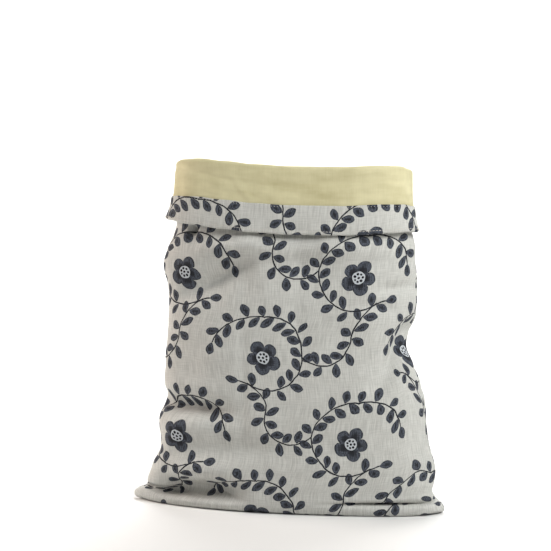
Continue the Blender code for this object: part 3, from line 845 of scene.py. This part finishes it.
# Topstitching.
# Two rows of pale thread that hold the hem down over the lining: one near the fold at the cuff's lower edge
# and a finer one beside the hem's own edge. Each stitch dips into the cloth at both ends.

THREAD = 0.00052
STITCH_SIDES = 6
EDGE_STITCHES_IN = 0.0012
STITCH_ROWS = (
    # height over the cuff's lower edge, stitch, gap
    (STITCH_RISE, 0.0024, 0.0007),
    (HEM_RISE + HEM_RADIUS + OUTER_THICK / 2 - EDGE_STITCHES_IN, 0.0008, 0.0022),
)
STITCH_PROFILE = (
    # share of the stitch, share of the thread's thickness, rise off the cloth in thicknesses
    (0.00, 0.30, -0.55),
    (0.08, 0.75, -0.10),
    (0.25, 1.00, 0.22),
    (0.75, 1.00, 0.22),
    (0.92, 0.75, -0.10),
    (1.00, 0.30, -0.55),
)


def hem_line(height):
    """Points round the hem's outer face, this high over the cuff's lower edge, and unit steps out of it."""
    heights = outer_points[outer_mouth:, :, 2].mean(axis=1)
    low_row = outer_mouth + int(np.argmin(heights))
    middle_z = outer_points[low_row:, COLUMNS // 2, 2]
    rises = middle_z - middle_z[0] + OUTER_THICK / 2
    row = low_row + int(np.argmin(np.abs(rises - height)))
    line = outer_points[row]
    out = -grid_normals(outer_points)[row]
    facing = np.sign(np.sum(out * (line - [0.0, SEAM_Y, line[:, 2].mean()]), axis=1, keepdims=True))
    return line + out * facing * OUTER_THICK / 2, out * facing


def stitch_row(height, stitch, gap):
    """Corners and faces of one row of stitches round the hem."""
    line, out = hem_line(height)
    line, out = np.vstack((line, line[:1])), np.vstack((out, out[:1]))
    walked = np.concatenate(([0.0], np.cumsum(np.linalg.norm(np.diff(line, axis=0), axis=1))))
    count = int(walked[-1] / (stitch + gap))
    starts = walked[-1] * np.arange(count) / count
    corners, faces = [], []
    for start in starts:
        first = len(corners)
        for share, thick, rise in STITCH_PROFILE:
            at = start + share * stitch
            point = np.array([np.interp(at, walked, line[:, k]) for k in range(3)])
            normal = np.array([np.interp(at, walked, out[:, k]) for k in range(3)])
            normal /= np.linalg.norm(normal)
            up = np.array((0.0, 0.0, 1.0))
            for side in range(STITCH_SIDES):
                turn = math.tau * side / STITCH_SIDES
                ring = THREAD / 2 * thick * (math.cos(turn) * normal + math.sin(turn) * up)
                corners.append(point + normal * rise * THREAD + ring)
        for ring in range(len(STITCH_PROFILE) - 1):
            ring_first = first + ring * STITCH_SIDES
            for side in range(STITCH_SIDES):
                a, b = ring_first + side, ring_first + (side + 1) % STITCH_SIDES
                faces.append((a, b, b + STITCH_SIDES, a + STITCH_SIDES))
        last = first + (len(STITCH_PROFILE) - 1) * STITCH_SIDES
        faces.append(tuple(range(first + STITCH_SIDES - 1, first - 1, -1)))
        faces.append(tuple(range(last, last + STITCH_SIDES)))
    return corners, faces


corners, faces = [], []
for height, stitch, gap in STITCH_ROWS:
    row_corners, row_faces = stitch_row(height, stitch, gap)
    faces += [tuple(len(corners) + index for index in face) for face in row_faces]
    corners += row_corners
thread_mesh = bpy.data.meshes.new("hem_stitches")
thread_mesh.from_pydata(np.array(corners).tolist(), [], faces)
thread_mesh.shade_smooth()
hem_stitches = add_object("hem_stitches", thread_mesh)

THREAD_PALE, THREAD_DARK = (0.66, 0.64, 0.58, 1), (0.50, 0.48, 0.43, 1)
THREAD_ROUGHNESS = 0.6
TWIST_STRETCH = (900.0, 900.0, 2600.0)
sewing_thread, tree, shader = new_material("sewing_thread", THREAD_ROUGHNESS)
place = put(tree, "ShaderNodeTexCoord").outputs["Object"]
twist = noise(tree, vector(tree, "MULTIPLY", place, TWIST_STRETCH), scale=1.0, detail=1.0)["Fac"]
tree.links.new(blend(tree, twist, THREAD_PALE, THREAD_DARK), shader["Base Color"])
thread_mesh.materials.append(sewing_thread)
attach(hem_stitches, "root")


# Lining.
# Two panels of plain yellow cotton, sewn as a second bag inside the first and turned over the mouth with
# it. Its lower edge is caught under the hem of the outer cloth.

COTTON_PALE, COTTON_DARK = (0.69, 0.645, 0.410, 1), (0.47, 0.425, 0.235, 1)
COTTON_THREADS, COTTON_BUMP, COTTON_RELIEF = 2400.0, 0.2, 0.0002
COTTON_CONTRAST, COTTON_TONE = 0.35, 0.42
COTTON_ROUGHNESS = 0.82
COTTON_CLOUDS = (
    # waves a metre across, waves a metre up, detail, share
    (9.0, 20.0, 2.0, 1.0),
    (24.0, 110.0, 2.0, 1.1),
    (80.0, 90.0, 3.0, 0.7),
)
CRUMPLE_STRETCH, CRUMPLE_BUMP, CRUMPLE_RELIEF = (22.0, 46.0, 1.0), 0.6, 0.0011

plain_cotton, tree, shader = new_material("plain_cotton", COTTON_ROUGHNESS)
cloth = put(tree, "ShaderNodeAttribute", attribute_name="cloth").outputs["Vector"]
threads = put(tree, "ShaderNodeGroup", (cloth, COTTON_THREADS), node_tree=weave).outputs
tone = calc(tree, "MULTIPLY_ADD", threads["Tone"], COTTON_CONTRAST, COTTON_TONE)
for scale_across, scale_up, detail, share in COTTON_CLOUDS:
    stretched = vector(tree, "MULTIPLY", cloth, (scale_across, scale_up, 1.0))
    cloud = calc(tree, "SUBTRACT", noise(tree, stretched, scale=1.0, detail=detail)["Fac"], 0.5)
    tone = calc(tree, "MULTIPLY_ADD", cloud, share, tone)
tree.links.new(blend(tree, tone, COTTON_PALE, COTTON_DARK), shader["Base Color"])
crumples = noise(tree, vector(tree, "MULTIPLY", cloth, CRUMPLE_STRETCH), scale=1.0, detail=3.0)["Fac"]
crumpled = bumped(tree, crumples, CRUMPLE_BUMP, CRUMPLE_RELIEF)
tree.links.new(bumped(tree, threads["Height"], COTTON_BUMP, COTTON_RELIEF, crumpled), shader["Normal"])

lining_points, *_, lining_mouth = sack(with_hem=False)
lining_points = lining_points - grid_normals(lining_points) * LINING_DEPTH
lining_places = cloth_places(lining_points, lining_points, lining_mouth)
LINING_PANELS = (("lining_front_cloth", "lining_front", -1), ("lining_back_cloth", "lining_back", 1))
for name, node, face in LINING_PANELS:
    mesh = panel_mesh(name, lining_points, lining_places, face)
    panel = cloth_piece(name, mesh, plain_cotton, LINING_THICK)
    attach(panel, "root")
    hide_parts(node)


# Studio.
# A pale floor that sweeps up behind, a large soft light from the front right, a warmer one from the left,
# one on the backdrop, and a long lens at the photo's angle, a little to the right and just under the mouth.

FLOOR_HALF = 3.0
SWEEP_FROM, SWEEP_RADIUS = 1.2, 0.8
SWEEP_STEPS = 16
PAPER_COLOUR, PAPER_ROUGHNESS = (0.82, 0.82, 0.81, 1), 0.9

profile = [(-FLOOR_HALF, 0.0), (SWEEP_FROM, 0.0)]
for i in range(1, SWEEP_STEPS + 1):
    turn = math.pi / 2 * i / SWEEP_STEPS
    profile.append((SWEEP_FROM + SWEEP_RADIUS * math.sin(turn), SWEEP_RADIUS * (1 - math.cos(turn))))
profile.append((SWEEP_FROM + SWEEP_RADIUS, FLOOR_HALF))
corners = [(side * FLOOR_HALF, y, z) for y, z in profile for side in (-1, 1)]
strips = [(2 * i, 2 * i + 1, 2 * i + 3, 2 * i + 2) for i in range(len(profile) - 1)]
floor_mesh = bpy.data.meshes.new("floor")
floor_mesh.from_pydata(corners, [], strips)
floor_mesh.shade_smooth()
floor = add_object("floor", floor_mesh)
paper, _, shader = new_material("paper", PAPER_ROUGHNESS)
shader["Base Color"].default_value = PAPER_COLOUR
floor_mesh.materials.append(paper)

LIGHTS = (
    # name, place, aim, size, watts, colour
    ("key_light", (0.66, -0.54, 0.97), (0.0, 0.0, 0.20), 0.65, 13.2, (1.0, 1.0, 0.985)),
    ("side_light", (-1.25, 0.06, 0.6), (0.0, 0.0, 0.17), 0.6, 13.0, (1.0, 0.88, 0.81)),
    ("backdrop_light", (0.0, 0.9, 1.6), (0.0, 2.0, 0.4), 1.5, 60.0, (1.0, 1.0, 1.0)),
)
SKY_COLOUR, SKY_STRENGTH = (1.0, 1.0, 1.0, 1), 0.07


def aim(thing, place, at):
    """Puts a light or camera at a place and turns it to look at a point."""
    thing.location = place
    look = np.array(at) - np.array(place)
    level = math.hypot(look[0], look[1])
    thing.rotation_euler = (math.atan2(level, -look[2]), 0.0, math.atan2(-look[0], look[1]))


for name, place, at, size, watts, colour in LIGHTS:
    lamp = bpy.data.lights.new(name, "AREA")
    lamp.shape = "DISK"
    lamp.size = size
    lamp.energy = watts
    lamp.color = colour
    aim(add_object(name, lamp), place, at)

world = bpy.data.worlds.new("studio")
world.use_nodes = True
sky = world.node_tree.nodes["Background"].inputs
sky["Color"].default_value = SKY_COLOUR
sky["Strength"].default_value = SKY_STRENGTH
bpy.context.scene.world = world
bpy.context.scene.view_settings.view_transform = "Standard"

CAMERA_PLACE = (0.1414, -1.1745, 0.2862)
CAMERA_AIM = (-0.0148, 0.0, 0.2250)
CAMERA_ROLL = 1.0
CAMERA_LENS, CAMERA_SENSOR = 80.0, 36.0
CAMERA_REACH = 20.0

lens = bpy.data.cameras.new("camera")
lens.lens = CAMERA_LENS
lens.sensor_width = CAMERA_SENSOR
lens.sensor_fit = "HORIZONTAL"
lens.clip_end = CAMERA_REACH
camera = add_object("camera", lens)
aim(camera, CAMERA_PLACE, CAMERA_AIM)
camera.rotation_euler.rotate_axis("Z", math.radians(CAMERA_ROLL))
bpy.context.scene.camera = camera
